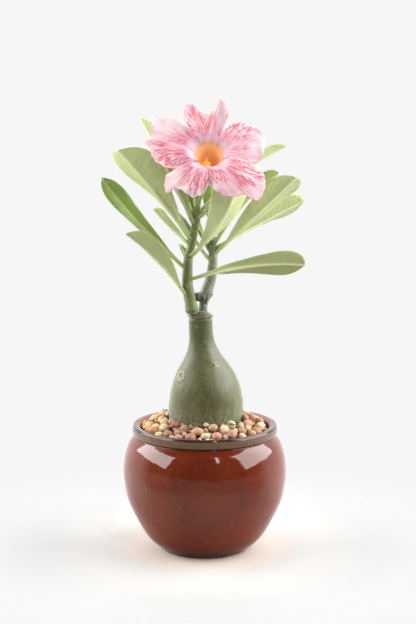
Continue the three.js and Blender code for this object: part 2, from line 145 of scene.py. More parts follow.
def make_camera():
    data = bpy.data.cameras.new("camera")
    data.sensor_width = SENSOR_WIDTH
    data.lens = CAMERA_LENS
    camera = add_object("camera", data)
    camera.location = CAMERA_PLACE
    camera.rotation_euler = (CAMERA_TARGET - CAMERA_PLACE).to_track_quat("-Z", "Y").to_euler()
    bpy.context.scene.camera = camera


make_camera()

# ---- Meshes ----


class Shape:
    """Points in millimetres, faces, and the values that each point carries."""

    def __init__(self):
        self.points = []
        self.faces = []
        self.values = {}

    def add(self, point, **values):
        self.points.append(Vector(point))
        for name, value in values.items():
            self.values.setdefault(name, []).append(value)
        return len(self.points) - 1

    def piece(self, name, material, replaces=()):
        mesh = bpy.data.meshes.new(name)
        mesh.from_pydata([point * MM for point in self.points], [], self.faces)
        for key, values in self.values.items():
            several = isinstance(values[0], tuple)
            kind = "FLOAT_VECTOR" if several else "FLOAT"
            attribute = mesh.attributes.new(key, kind, "POINT")
            if several:
                attribute.data.foreach_set("vector", [x for value in values for x in value])
            else:
                attribute.data.foreach_set("value", values)
        shell = bmesh.new()
        shell.from_mesh(mesh)
        bmesh.ops.recalc_face_normals(shell, faces=shell.faces)
        shell.to_mesh(mesh)
        shell.free()
        mesh.polygons.foreach_set("use_smooth", [True] * len(mesh.polygons))
        mesh.materials.append(material)
        made = add_object(name, mesh)
        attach(made, "root")
        if replaces:
            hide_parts(*replaces)


def add_rings(shape, rings):
    """Joins rings of point numbers into a tube with a cap at each end."""
    for low, high in zip(rings, rings[1:]):
        for i, corner in enumerate(low):
            j = (i + 1) % len(low)
            shape.faces.append((corner, low[j], high[j], high[i]))
    shape.faces.append(tuple(reversed(rings[0])))
    shape.faces.append(tuple(rings[-1]))


def add_lathe(shape, profile, sides, place=Vector, values=None):
    """Turns a closed [radius, height] profile round the axis. Points at radius 0 are poles."""
    rings = []
    for k, (radius, height) in enumerate(profile):
        extra = values(k, radius, height) if values else {}
        count = sides if radius else 1
        turns = [tau * i / count for i in range(count)]
        spots = [(radius * cos(turn), radius * sin(turn), height) for turn in turns]
        rings.append([shape.add(place(spot), **extra) for spot in spots])
    pairs = list(zip(rings, rings[1:]))
    if len(rings[0]) > 1 and len(rings[-1]) > 1:
        pairs.append((rings[-1], rings[0]))
    for low, high in pairs:
        for i in range(sides):
            j = (i + 1) % sides
            corners = [low[i % len(low)], low[j % len(low)], high[j % len(high)], high[i % len(high)]]
            shape.faces.append(tuple(dict.fromkeys(corners)))  # a pole's two corners are one


SWEEP_AHEAD = 0.004  # the share of a sweep over which its direction is taken


def add_sweep(shape, curve, steps, sides, radius, values=None):
    """A round body on curve(share). radius(share, turn) gives its radius."""
    rings = []
    for k in range(steps + 1):
        share = k / steps
        centre = curve(share)
        ahead = curve(min(1, share + SWEEP_AHEAD)) - curve(max(0, share - SWEEP_AHEAD))
        tangent = ahead.normalized()
        right = Vector((0, 1, 0)).cross(tangent).normalized()
        front = right.cross(tangent).normalized()
        ring = []
        for i in range(sides):
            turn = tau * i / sides
            reach = radius(share, turn)
            point = centre + right * (reach * cos(turn)) + front * (reach * sin(turn))
            ring.append(shape.add(point, **(values(share, turn) if values else {})))
        rings.append(ring)
    add_rings(shape, rings)


def add_sheet(shape, rows, columns, place):
    """A thin closed sheet. place(along, across) gives the upper point, the lower point
    and the values that both carry; across runs from -1 to 1."""
    upper, lower = [], []
    for row in range(rows + 1):
        for column in range(columns + 1):
            top, bottom, values = place(row / rows, 2 * column / columns - 1)
            upper.append(shape.add(top, under=0.0, **values))
            lower.append(shape.add(bottom, under=1.0, **values))
    width = columns + 1
    for row in range(rows):
        for column in range(columns):
            a = row * width + column
            b, c, d = a + 1, a + width + 1, a + width
            shape.faces.append((upper[a], upper[b], upper[c], upper[d]))
            shape.faces.append((lower[d], lower[c], lower[b], lower[a]))
    edge = list(range(columns, 0, -1))
    edge += [row * width for row in range(rows)]
    edge += [rows * width + column for column in range(columns)]
    edge += [row * width + columns for row in range(rows, 0, -1)]
    for i, start in enumerate(edge):
        end = edge[(i + 1) % len(edge)]
        shape.faces.append((upper[start], upper[end], lower[end], lower[start]))


# ---- Node materials ----


def add_node(tree, kind, inputs, **settings):
    """A node whose inputs are each linked to what a Value or socket gives, or set."""
    made = tree.nodes.new("ShaderNode" + kind)
    for name, setting in settings.items():
        setattr(made, name, setting)
    for key, value in inputs.items():
        feed(tree, made.inputs[key], value)
    return made


def feed(tree, socket, value):
    """Links a Value or socket to socket, or sets socket to a number, vector or colour."""
    if isinstance(value, Value):
        value = value.socket
    if isinstance(value, bpy.types.NodeSocket):
        tree.links.new(value, socket)
    elif isinstance(value, tuple) and socket.type == "RGBA":
        socket.default_value = (*value, 1)
    else:
        socket.default_value = value


class Value:
    """What a node gives out. Arithmetic on it adds nodes to the same material."""

    def __init__(self, tree, socket):
        self.tree = tree
        self.socket = socket

    def math(self, operation, *others):
        inputs = dict(enumerate((self, *others)))
        return Value(self.tree, add_node(self.tree, "Math", inputs, operation=operation).outputs[0])

    def __add__(self, other):
        return self.math("ADD", other)

    __radd__ = __add__

    def __sub__(self, other):
        return self.math("SUBTRACT", other)

    def __rsub__(self, other):
        return self.math("MULTIPLY_ADD", -1, other)

    def __mul__(self, other):
        return self.math("MULTIPLY", other)

    __rmul__ = __mul__

    def __truediv__(self, other):
        return self.math("DIVIDE", other)

    def __abs__(self):
        return self.math("ABSOLUTE")

    def most(self, other):
        return self.math("MAXIMUM", other)

    def between(self, low, high, start=0.0, end=1.0):
        """This value taken smoothly from low..high to start..end."""
        inputs = {"Value": self, "From Min": low, "From Max": high, "To Min": start, "To Max": end}
        made = add_node(self.tree, "MapRange", inputs, interpolation_type="SMOOTHSTEP")
        return Value(self.tree, made.outputs[0])


class Look:
    """A node material under construction, with a Principled shader at its end."""

    def __init__(self, name, settings=None):
        self.material = bpy.data.materials.new(name)
        self.material.use_nodes = True
        self.tree = self.material.node_tree
        self.tree.nodes.clear()
        self.shader = add_node(self.tree, "BsdfPrincipled", settings or {})
        add_node(self.tree, "OutputMaterial", {"Surface": self.shader.outputs[0]})
        self.object = self.node("TexCoord", "Object")

    def node(self, kind, output, inputs=None, **settings):
        made = add_node(self.tree, kind, inputs or {}, **settings)
        return Value(self.tree, made.outputs[output])

    def attribute(self, name):
        return self.node("Attribute", "Fac", attribute_name=name)

    def parts(self, name=None):
        """The three numbers of a vector attribute, or of the place on the object."""
        vector = self.node("Attribute", "Vector", attribute_name=name) if name else self.object
        made = add_node(self.tree, "SeparateXYZ", {0: vector})
        return [Value(self.tree, output) for output in made.outputs]

    def from_axis(self):
        x, y, _ = self.parts()
        return (x * x + y * y).math("SQRT")

    def joined(self, x, y, z=0.0):
        return self.node("CombineXYZ", 0, {0: x, 1: y, 2: z})

    def squeezed(self, height):
        """The place on the object, its height scaled so that a texture runs upright."""
        return self.node("Mapping", 0, {"Vector": self.object, "Scale": (1, 1, height)})

    def noise(self, scale, detail=3.0, roughness=0.55, distortion=0.0, at=None):
        inputs = {"Vector": at or self.object, "Scale": scale, "Detail": detail}
        inputs.update({"Roughness": roughness, "Distortion": distortion})
        return self.node("TexNoise", "Fac", inputs)

    def cells(self, scale, feature="F1", at=None):
        inputs = {"Vector": at or self.object, "Scale": scale}
        return self.node("TexVoronoi", "Distance", inputs, feature=feature)

    def blend(self, share, first, second):
        return self.node("Mix", 2, {0: share, 6: first, 7: second}, data_type="RGBA")

    def layers(self, colour, *layers):
        """colour with each (share, tint) laid over it in turn."""
        for share, tint in layers:
            colour = self.blend(share, colour, tint)
        return colour

    def ramp(self, share, *stops):
        """Colours by share; each stop is (place, colour)."""
        made = add_node(self.tree, "ValToRGB", {0: share})
        elements = made.color_ramp.elements
        while len(elements) < len(stops):
            elements.new(0.5)
        for element, (place, colour) in zip(elements, stops):
            element.position = place
            element.color = (*colour, 1)
        return Value(self.tree, made.outputs[0])

    def set(self, name, value):
        feed(self.tree, self.shader.inputs[name], value)

    def finish(self, colour, roughness, *bumps):
        """Each bump is (height from 0 to 1, how many metres it stands proud)."""
        self.set("Base Color", colour)
        self.set("Roughness", roughness)
        below = {}
        for height, distance in bumps:
            normal = self.node("Bump", 0, {"Height": height, "Distance": distance, "Strength": 1, **below})
            below = {"Normal": normal}
            self.set("Normal", normal)
        return self.material


def glaze_look():
    """Red-brown glaze with fine specks; a khaki band round the lip, a near-black line along its
    outer edge that is a painted dark reflection, and dull red-brown clay colour over its top.
    Near the foot the glaze is darkened with painted shade."""
    look = Look("glaze", {"IOR": 1.49})
    height = look.parts()[2]
    lip = 73.8 * MM
    top = POT_HEIGHT * MM
    cloud = look.noise(38, 4)
    drift = look.noise(230, 4, 0.65, at=look.squeezed(0.5))
    specks = look.noise(1150, 2, 0.6)
    flecks = look.noise(720, 2, 0.5, at=look.squeezed(0.6))
    mottle = look.noise(420, 5, 0.7)
    khaki = look.ramp(
        mottle, (0.36, (0.21, 0.07, 0.032)), (0.52, (0.135, 0.082, 0.042)), (0.7, (0.075, 0.054, 0.028))
    )
    clay = look.ramp(mottle, (0.35, (0.15, 0.04, 0.024)), (0.7, (0.26, 0.085, 0.055)))
    edge = height + cloud * 0.0014 + drift * 0.0006
    band = edge.between(lip, lip + 0.0008)
    groove = edge.between(lip - 0.0016, lip - 0.0003) * edge.between(lip, lip + 0.0008, 1, 0)
    # painted dark reflection: a near-black line along the lip's outer edge, for the dark room mirrored in
    # the glossy edge
    painted_dark_reflection = edge.between(top - 0.0006, top - 0.0001)
    on_top = look.from_axis().between(0.043, 0.0436, 1, 0) * height.between(0.0725, 0.0735)
    # painted shade: the glaze is darkened towards the foot, where the pot sits in its own shadow on the
    # floor
    painted_shade_low = (cloud * 0.006 + height).between(0.004, 0.019, 0.65, 0)
    foot = height.between(0.0006, 0.0022, 1, 0)
    colour = look.layers(
        look.ramp(cloud, (0.35, (0.118, 0.015, 0.0032)), (0.65, (0.165, 0.025, 0.0058))),
        (drift.between(0.5, 0.75, 0, 0.35), (0.17, 0.045, 0.02)),
        (specks.between(0.6, 0.72, 0, 0.8), (0.035, 0.006, 0.004)),
        (flecks.between(0.66, 0.78, 0, 0.5), (0.3, 0.12, 0.06)),
        (band, khaki),
        (groove * 0.6, (0.035, 0.008, 0.005)),
        (painted_dark_reflection, (0.022, 0.018, 0.018)),
        (on_top, clay),
        (painted_shade_low, (0.028, 0.006, 0.003)),
        (foot, (0.2, 0.075, 0.04)),
    )
    look.set("Specular IOR Level", height.between(0.003, 0.05, 0.1, 0.5))
    gloss = look.noise(95).between(0.3, 0.8, 0.05, 0.11)
    gloss = gloss + (band - painted_dark_reflection) * 0.2 + on_top * 0.22 + foot * 0.5
    return look.finish(colour, gloss, (look.noise(60, 2), 0.0004), (drift, 0.00003))


def soil_look():
    """Dark crumbly potting soil with paler grains."""
    look = Look("soil")
    crumbs = look.cells(420)
    grain = look.noise(900, 4, 0.7)
    colour = look.layers(
        look.ramp(crumbs, (0.0, (0.02, 0.012, 0.008)), (0.7, (0.075, 0.045, 0.028))),
        (grain.between(0.62, 0.7), (0.22, 0.16, 0.11)),
    )
    return look.finish(colour, grain.between(0.3, 0.8, 0.85, 1), (crumbs, 0.0012), (grain, 0.0004))


def pebble_look():
    """Worn quartz and sandstone: each pebble has its own colour, veined and pitted."""
    look = Look("pebbles", {"IOR": 1.5})
    kinds = look.ramp(
        look.attribute("kind"),
        (0.0, (0.62, 0.5, 0.24)), (0.2, (0.72, 0.58, 0.36)), (0.32, (0.6, 0.33, 0.1)),
        (0.44, (0.52, 0.22, 0.13)), (0.58, (0.68, 0.38, 0.27)), (0.68, (0.22, 0.1, 0.075)),
        (0.76, (0.4, 0.21, 0.15)), (0.86, (0.66, 0.52, 0.27)), (1.0, (0.76, 0.66, 0.44)),
    )
    cloud = look.noise(330, 5, 0.65)
    grain = look.noise(2100, 3, 0.7)
    colour = look.layers(
        kinds,
        (cloud.between(0.4, 0.72, 0, 0.45), (0.36, 0.18, 0.1)),
        (grain.between(0.58, 0.72, 0, 0.45), (0.16, 0.09, 0.06)),
        (grain.between(0.42, 0.28, 0, 0.4), (0.86, 0.78, 0.66)),
    )
    worn = look.noise(260, 2).between(0.3, 0.75, 0.5, 0.85)
    return look.finish(colour, worn, (cloud, 0.0003), (grain, 0.00009))


def bark_look(name, low, high, pale, tip, tip_from, netted):
    """Smooth, faintly shiny grey-green skin with fine upright fibres, freckles and dark
    scars. netted is the height below which a pale corky net covers it."""
    sheen = {"Sheen Weight": 1.0, "Sheen Roughness": 0.4, "Sheen Tint": (0.9, 1.0, 0.8)}
    look = Look(name, {"IOR": 1.5, **sheen})
    height = look.parts()[2]
    upright = look.squeezed(0.16)
    fibres = look.noise(1150, 4, 0.65, 0.3, at=upright)
    strands = look.noise(300, 4, 0.6, 0.5, at=upright)
    cloud = look.noise(62, 4, 0.6)
    net = look.cells(900, "DISTANCE_TO_EDGE", at=look.squeezed(0.55)).between(0.03, 0.14, 0.42, 0)
    dashes = look.noise(1700, 3, 0.6, at=look.squeezed(0.28)).between(0.5, 0.6, 0, 0.72)
    corky = ((strands - 0.5) * 0.03 + height).between(netted - 0.012, netted + 0.006, 1, 0)
    netting = (corky * net).most(corky * dashes)
    colour = look.layers(
        look.ramp(cloud, (0.36, low), (0.62, high)),
        (fibres.between(0.44, 0.68, 0, 0.3), pale),
        (strands.between(0.5, 0.74, 0, 0.12), pale),
        (height.between(*tip_from, 0, 0.8), tip),
        (netting, (0.34, 0.33, 0.21)),
        (look.noise(1300, 2, 0.6).between(0.68, 0.76, 0, 0.5), (0.09, 0.055, 0.03)),
        (look.attribute("scar").between(0.12, 0.85, 0, 0.85), (0.075, 0.05, 0.026)),
        (look.attribute("ring").between(0.1, 0.9, 0, 0.7), (0.3, 0.27, 0.16)),
    )
    roughness = cloud.between(0.3, 0.75, 0.4, 0.52) + corky * 0.12
    return look.finish(colour, roughness, (strands, 0.00012), (fibres, 0.00007), (netting, 0.0002))


def leaf_look():
    """Upper side deep green, underside pale olive, with a pale midrib and side veins."""
    flesh = {"Subsurface Radius": (0.6, 1.0, 0.25), "Subsurface Scale": 0.0008, "Subsurface Weight": 0.18}
    look = Look("leaf", {"IOR": 1.45, **flesh})
    aside, outwards, half = look.parts("blade")
    bright, along, _ = look.parts("tint")
    under = look.attribute("under")
    aside = abs(aside)
    cloud = look.noise(110)
    mottled = cloud.between(0.38, 0.7)
    bend = look.noise(190, 2) * 1.6 + aside * -0.42 + outwards
    raised = bend.math("PINGPONG", 2.1).between(0.0, 0.42, 1, 0)
    reach = aside / half.most(0.5)
    vein = raised * reach.between(0.35, 0.98, 1, 0.15)
    upper = look.layers(
        look.blend(bright, (0.1, 0.165, 0.018), (0.3, 0.42, 0.085)),
        (mottled * 0.3, (0.24, 0.32, 0.05)),
    )
    lower = look.layers(
        look.blend(bright, (0.24, 0.285, 0.075), (0.62, 0.69, 0.33)),
        (mottled * 0.25, (0.42, 0.45, 0.17)),
    )
    colour = look.layers(
        look.blend(under, upper, lower),
        (vein * look.noise(75, 2).between(0.38, 0.62, 0.02, 0.13), (0.47, 0.53, 0.24)),
        (
            (aside / (along * -0.85 + 1.6)).between(0.45, 1.15, 1, 0),
            look.blend(under, (0.5, 0.6, 0.25), (0.8, 0.8, 0.47)),
        ),
        (along.between(0.03, 0.16, 0.6, 0), (0.34, 0.44, 0.17)),
        (look.noise(1500, 3, 0.7).between(0.6, 0.72, 0, 0.25), (0.13, 0.17, 0.05)),
        (reach.between(0.93, 1.0, 0, 0.5), (0.5, 0.55, 0.28)),
    )
    gloss = cloud.between(0.3, 0.7, 0.36, 0.5) + under * 0.14
    return look.finish(colour, gloss, (raised, 0.00014), (look.noise(520), 0.00022))


def petal_look():
    """Blush petals with a fan of feathered crimson veins, and an orange throat that pales
    out over the petals' roots. Thin flesh lets a little light through; the throat's glow is
    painted: the tube's inside and the petals' roots round it emit their own colour."""
    flesh = {"Subsurface Radius": (1.0, 0.6, 0.6), "Subsurface Scale": 0.001, "Subsurface Weight": 0.15}
    look = Look("petal", {"IOR": 1.38, **flesh})
    across, along, lobe = look.parts("petal")
    under = look.attribute("under")
    facing = 1 - under
    place = look.joined(across * (along * -0.3 + 1), along * 0.1, lobe)
    coarse = look.noise(13, 3, 0.6, 0.25, at=place)
    fine = look.noise(27, 3, 0.6, 0.4, at=place)
    blotch = look.noise(85)
    thick = abs(coarse - 0.5).between(0.012, 0.055, 1, 0)
    veins = thick.most(abs(fine - 0.52).between(0.012, 0.075, 0.9, 0))
    wash = blotch.between(0.42, 0.6, 0.06, 0.42) * along.between(0.3, 0.75, 1, 0.35)
    ragged = (fine - 0.5) + (blotch - 0.5) * 0.4 + along
    strip = abs(across).between(0.04, 0.2, 1, 0) * along.between(0.35, 0.6, 1, 0)
    patch = (ragged - look.attribute("limit")).between(-0.16, 0.03, 1, 0)
    patch = patch * (1 - strip * 0.8) * along.between(0.12, 0.28)
    strength = patch * veins.most(wash)
    pale = look.blend(
        along.between(0.35, 0.8),
        look.blend(blotch.between(0.38, 0.62), (0.74, 0.585, 0.65), (0.7, 0.45, 0.57)),
        look.blend(blotch.between(0.35, 0.6), (0.745, 0.6, 0.605), (0.71, 0.46, 0.515)),
    )
    crimson = look.layers(
        look.blend(along.between(0.15, 0.5), (0.7, 0.08, 0.26), (0.7, 0.065, 0.135)),
        (blotch.between(0.42, 0.62, 0, 0.6), (0.48, 0.036, 0.09)),
    )
    face = look.layers(
        pale,
        (patch * 0.75, (0.8, 0.69, 0.69)),
        (strength * 0.92, crimson),
        (along.between(0.965, 1.0) * blotch.between(0.42, 0.55, 0, 0.6), (0.7, 0.17, 0.22)),
        (look.cells(62).between(0.05, 0.085, 0.85, 0), (0.62, 0.28, 0.08)),
    )
    reach = (blotch - 0.5) * 0.0016 + look.attribute("reach")
    glow = look.ramp(
        reach.between(0.0058, 0.0108),
        (0.0, (0.7, 0.36, 0.15)), (0.4, (0.72, 0.39, 0.19)), (0.7, (0.76, 0.45, 0.36)),
        (1.0, (0.77, 0.52, 0.56)),
    )
    depth = look.attribute("depth")
    in_tube = depth.between(0.001, 0.02)
    lines = look.noise(900, 2, at=look.joined(look.parts()[0], depth)).between(0.5, 0.62)
    inside = look.ramp(
        depth,
        (0.0, (0.66, 0.33, 0.14)), (0.3, (0.65, 0.33, 0.15)), (0.6, (0.6, 0.26, 0.1)),
        (1.0, (0.42, 0.12, 0.05)),
    )
    inside = look.blend(lines * depth.between(0.25, 0.5, 0, 0.7), inside, (0.46, 0.09, 0.03))
    outside = look.blend(depth.between(0.3, 1.0), (0.76, 0.48, 0.52), (0.5, 0.5, 0.22))
    colour = look.layers(
        look.blend(under, face, look.blend(strength * 0.25, pale, crimson)),
        (reach.between(0.0088, 0.012, 1, 0) * facing, glow),
        (in_tube, look.blend(under, inside, outside)),
    )
    # painted glow: the inside of the tube and the face round the throat emit their own colour, standing in
    # for light coming through the flesh
    look.set("Emission Color", colour)
    look.set("Emission Strength", in_tube.most(reach.between(0.0056, 0.0095, 1, 0)) * facing * 0.45)
    roughness = blotch.between(0.3, 0.7, 0.5, 0.65)
    return look.finish(colour, roughness, (look.noise(22, at=place), 0.0003), (look.noise(700), 0.0001))


def anther_look():
    """Downy yellow anthers, browner in the hollows, with a faint painted glow of their own colour."""
    # painted glow: the anthers emit their own colour faintly
    look = Look("anther", {"Sheen Weight": 0.3, "Emission Strength": 0.4})
    down = look.noise(2200, 3, 0.7, at=look.squeezed(0.3))
    colour = look.ramp(down, (0.3, (0.8, 0.46, 0.06)), (0.65, (0.95, 0.7, 0.16)))
    look.set("Emission Color", colour)
    return look.finish(colour, down.between(0.3, 0.8, 0.55, 0.8), (down, 0.00025))


def sepal_look():
    """Soft green stalk and sepals with a rosy flush."""
    look = Look("sepal", {"IOR": 1.4, "Sheen Weight": 0.2})
    cloud = look.noise(160)
    fibres = look.noise(1300, 3, 0.6, at=look.squeezed(0.2))
    colour = look.layers(
        look.ramp(cloud, (0.35, (0.22, 0.3, 0.1)), (0.6, (0.38, 0.44, 0.19)), (0.78, (0.6, 0.34, 0.26))),
        (fibres.between(0.5, 0.75, 0, 0.3), (0.55, 0.58, 0.36)),
    )
    return look.finish(colour, cloud.between(0.3, 0.7, 0.5, 0.65), (fibres, 0.0001))


def moss_look():
    """Green tufts, darker between."""
    look = Look("moss", {"Sheen Weight": 0.2})
    tufts = look.noise(1800, 3, 0.7)
    colour = look.ramp(tufts, (0.3, (0.045, 0.085, 0.012)), (0.7, (0.17, 0.24, 0.04)))
    return look.finish(colour, tufts.between(0.3, 0.8, 0.7, 0.95), (tufts, 0.0004))


LOOKS = {
    "glaze": glaze_look(),
    "soil": soil_look(),
    "pebbles": pebble_look(),
    "trunk": bark_look(
        "trunk_bark",
        low=(0.052, 0.05, 0.007), high=(0.08, 0.08, 0.018), pale=(0.2, 0.2, 0.09),
        tip=(0.064, 0.074, 0.02), tip_from=(0.112, 0.142), netted=0.092,
    ),
    "left": bark_look(
        "left_stem_bark",
        low=(0.08, 0.098, 0.022), high=(0.135, 0.16, 0.048), pale=(0.3, 0.33, 0.14),
        tip=(0.13, 0.18, 0.036), tip_from=(0.165, 0.205), netted=0.0,
    ),
    "right": bark_look(
        "right_stem_bark",
        low=(0.11, 0.135, 0.092), high=(0.19, 0.225, 0.165), pale=(0.4, 0.43, 0.32),
        tip=(0.12, 0.165, 0.05), tip_from=(0.165, 0.19), netted=0.0,
    ),
    "leaf": leaf_look(),
    "petal": petal_look(),
    "anther": anther_look(),
    "sepal": sepal_look(),
    "moss": moss_look(),
}

# ---- Pot and soil ----

POT_OUTSIDE = [
    (FOOT_RADIUS, 0), (BELLY_RADIUS - 15.5, 8), (BELLY_RADIUS - 8.7, 19.2),
    (BELLY_RADIUS - 3.3, 31), (BELLY_RADIUS - 0.6, 43), (BELLY_RADIUS, 51),
    (BELLY_RADIUS - 1.2, 60), (BELLY_RADIUS - 4, 68), (NECK_RADIUS, 72.5),
]
POT_LIP = [
    (NECK_RADIUS, 72.5), (RIM_RADIUS - 0.4, 73.6), (RIM_RADIUS, 76),
    (RIM_RADIUS - 0.3, POT_HEIGHT - 0.9), (RIM_RADIUS - 1.3, POT_HEIGHT),
    (RIM_INNER_RADIUS + 1, POT_HEIGHT - 0.5), (RIM_INNER_RADIUS, POT_HEIGHT - 1.6),
]


POT_SIDES = 180


def curve_points(points, count):
    return [tuple(spline([(*p, 0) for p in points], i / count))[:2] for i in range(count + 1)]


def outside_radius(height):
    outline = curve_points(POT_OUTSIDE, 160)
    for (r0, z0), (r1, z1) in zip(outline, outline[1:]):
        if z0 <= height <= z1:
            return mix(r0, r1, (height - z0) / (z1 - z0))
    return outline[-1][0]


def make_pot():
    outside = curve_points(POT_OUTSIDE, 72)
    lip = curve_points(POT_LIP, 42)[1:]
    inside = [(outside_radius(z) - WALL, z) for z in (73.5, 71, 64, 54, 42, 30, 20, 12, FLOOR_TOP)]
    profile = [
        (FOOT_RECESS_RADIUS, 0.4), (FOOT_RECESS_RADIUS + 0.5, 0), (FOOT_RADIUS - 1.2, 0),
        (FOOT_RADIUS - 0.4, 0.15),
        *outside[1:],
        *lip,
        *inside,
        (DRAIN_RADIUS + 0.4, FLOOR_TOP), (DRAIN_RADIUS, FLOOR_TOP - 0.4),
        (DRAIN_RADIUS, FOOT_RECESS), (FOOT_RECESS_RADIUS - 1, FOOT_RECESS),
    ]
    shape = Shape()
    add_lathe(shape, profile, POT_SIDES)
    shape.piece("glazed_pot", LOOKS["glaze"], replaces=["pot"])


# ---- Pebbles ----


def heap_height(radius):
    """The height of a pebble's middle: the bed rises towards the trunk."""
    return mix(GRAVEL_TOP + GRAVEL_HEAP + 2.4, GRAVEL_TOP + 0.4, (radius - 26) / 12)


# Each layer of pebbles: smallest and largest radius, tries, how far below the heap's own
# height they lie, how close they pack, and how finely each is meshed.
PEBBLE_LAYERS = [
    (2.9, 3.9, 1600, 0.0, 0.84, 4), (2.1, 2.9, 2400, 0.1, 0.84, 4), (1.3, 1.9, 1600, 0.4, 0.84, 3),
]
GRIT_DEPTH = 3.2  # how far below the pebbles' middles the grit lies
GRIT_STEPS = 12
LOWER_PEBBLES = (2.2, 3.2, 1800, 3.0, 0.9, 2)


def ball(subdivisions):
    mesh = bmesh.new()
    bmesh.ops.create_icosphere(mesh, subdivisions=subdivisions, radius=1)
    corners = [vert.co.copy() for vert in mesh.verts]
    faces = [tuple(vert.index for vert in face.verts) for face in mesh.faces]
    mesh.free()
    return corners, faces


def add_pebbles(shape, chance, placed, layer):
    least, most, tries, depth, packing, subdivisions = layer
    corners, faces = ball(subdivisions)
    for _ in range(tries):
        size = chance.uniform(least, most)
        turn = chance.uniform(0, tau)
        radius = sqrt(chance.uniform((CAUDEX_RADIUS + 1.4) ** 2, (RIM_INNER_RADIUS - 0.9) ** 2))
        if radius + size > RIM_INNER_RADIUS - 0.3 or radius - size < CAUDEX_RADIUS - 1.2:
            continue
        here = Vector((radius * cos(turn), radius * sin(turn), 0))
        if any((here - other).length < packing * (size + reach) for other, reach in placed):
            continue
        placed.append((here.copy(), size))
        here.z = heap_height(radius) + chance.uniform(-1.0, 1.1) - depth
        tilt = Matrix.Rotation(chance.uniform(0, 6.3), 3, "Z")
        tilt = tilt @ Matrix.Rotation(chance.uniform(-0.5, 0.5), 3, "X")
        stretch = (1.0, chance.uniform(0.72, 0.98), chance.uniform(0.66, 0.88))
        kind = chance.random()
        if here.x < -0.6 * RIM_INNER_RADIUS:
            kind *= 0.45  # creams and ambers gather on the left
        elif here.y < 0 and here.x < -0.05 * RIM_INNER_RADIUS:
            kind = mix(0.55, 0.85, kind)  # dark ones in front, left of the middle
        seed = chance.uniform(0, 90)
        offset = len(shape.points)
        for corner in corners:
            lump = 1 + 0.11 * rough(corner, 0.9, seed) + 0.04 * rough(corner, 0.35, seed)
            point = Vector(c * s for c, s in zip(corner, stretch)) * (size * lump)
            shape.add(here + tilt @ point, kind=kind)
        shape.faces += [tuple(i + offset for i in face) for face in faces]


def make_pebbles():
    chance = random.Random(11)
    shape = Shape()
    placed = []
    for layer in PEBBLE_LAYERS:
        add_pebbles(shape, chance, placed, layer)
    add_pebbles(shape, chance, [], LOWER_PEBBLES)
    shape.piece("pebbles", LOOKS["pebbles"], replaces=["gravel"])


def make_grit():
    """The dark grit that shows between the pebbles."""
    shape = Shape()
    outer = RIM_INNER_RADIUS - 0.35
    profile = [(CAUDEX_RADIUS + 0.2, SOIL_TOP + 0.4), (outer, SOIL_TOP + 0.4)]
    for i in range(GRIT_STEPS + 1):
        radius = mix(outer, CAUDEX_RADIUS + 0.2, i / GRIT_STEPS)
        profile.append((radius, heap_height(radius) - GRIT_DEPTH))
    add_lathe(shape, profile, 120)
    for point in shape.points:
        if point.z > SOIL_TOP + 1:
            point.z += 0.7 * rough(point, 2.2)
    shape.piece("grit", LOOKS["soil"], replaces=["gravel"])


# ---- Trunk and stems ----

CAUDEX_OUTLINE = [
    (4, 38), (13, 50), (20.5, 64), (CAUDEX_RADIUS - 0.7, 78), (CAUDEX_RADIUS, 91),
    (CAUDEX_RADIUS - 1.7, 103), (17.4, 113.5), (11.4, 123), (8.5, 131), (7.7, 140), (7.6, 146),
    (7.3, 148.2), (4.6, NECK_TOP + 1.3),
]

# Old leaf and branch scars on the trunk: (degrees round from -Y towards +X, height,
# radius, how deep the middle is, how proud the rim stands). A knob has a depth below 0.
TRUNK_SCARS = [
    (-52, 111.5, 2.8, 0.1, 0.4), (-54, 111.8, 1.5, 0.3, 0.3), (-48, 110.6, 0.7, 0.5, 0.1),
    (28, 118.8, 1.5, -0.7, 0.2), (36, 118.8, 1.4, -0.5, 0.2), (33, 118.8, 0.7, 0.9, 0.1),
    (16, 132.5, 0.8, 0.3, 0.1), (-62, 126.5, 1.0, 0.5, 0.2), (84, 94.5, 1.5, 0.7, 0.3),
    (-20, 141.5, 0.9, 0.3, 0.2), (62, 147.6, 1.6, -1.1, 0.2), (62, 147.6, 0.7, 0.6, 0.1),
    (150, 121.0, 2.4, 0.6, 0.4), (-130, 134.0, 1.6, 0.5, 0.3), (112, 104.0, 2.6, 0.7, 0.4),
]
COLLAR = 147.4  # height of the corky ring round the neck
TRUNK_RINGS = 230
TRUNK_SIDES = 168
STEM_STEPS = 170
STEM_SIDES = 40


def scar_at(turn, height, radius):
    """How far the scars move the surface here, how dark it is and how pale its rim."""
    moved, dark, ring = 0.0, 0.0, 0.0
    for degrees, level, size, depth, rim in TRUNK_SCARS:
        around = turned(turn, degrees - 90)
        away = hypot(around * radius, height - level) / size
        if away < 3:
            moved += rim * bump(away, 1, 0.25) - depth * bump(away, 0, 0.6)
            dark = max(dark, (0.75 if depth > 0 else 0.35) * bump(away, 0, 0.4))
            dark = max(dark, 0.5 * bump(away, 1.25, 0.12))
            ring = max(ring, bump(away, 1, 0.2))
    around = (cos(turn) * 3, sin(turn) * 3, 0)
    wobble = COLLAR + 1.3 * rough(around, 2.4)
    flaking = 0.6 + 1.3 * max(0, rough(around, 0.8, 4))
    moved += flaking * bump(height, wobble, 0.55) - 0.3 * bump(height, wobble - 1.4, 0.5)
    dark = max(dark, flaking * 1.1 * bump(height, wobble - 0.9, 0.6), 0.8 * bump(height, wobble + 1.1, 0.7))
    ring = max(ring, flaking * 0.35 * bump(height, wobble, 0.4))
    return moved, dark, ring


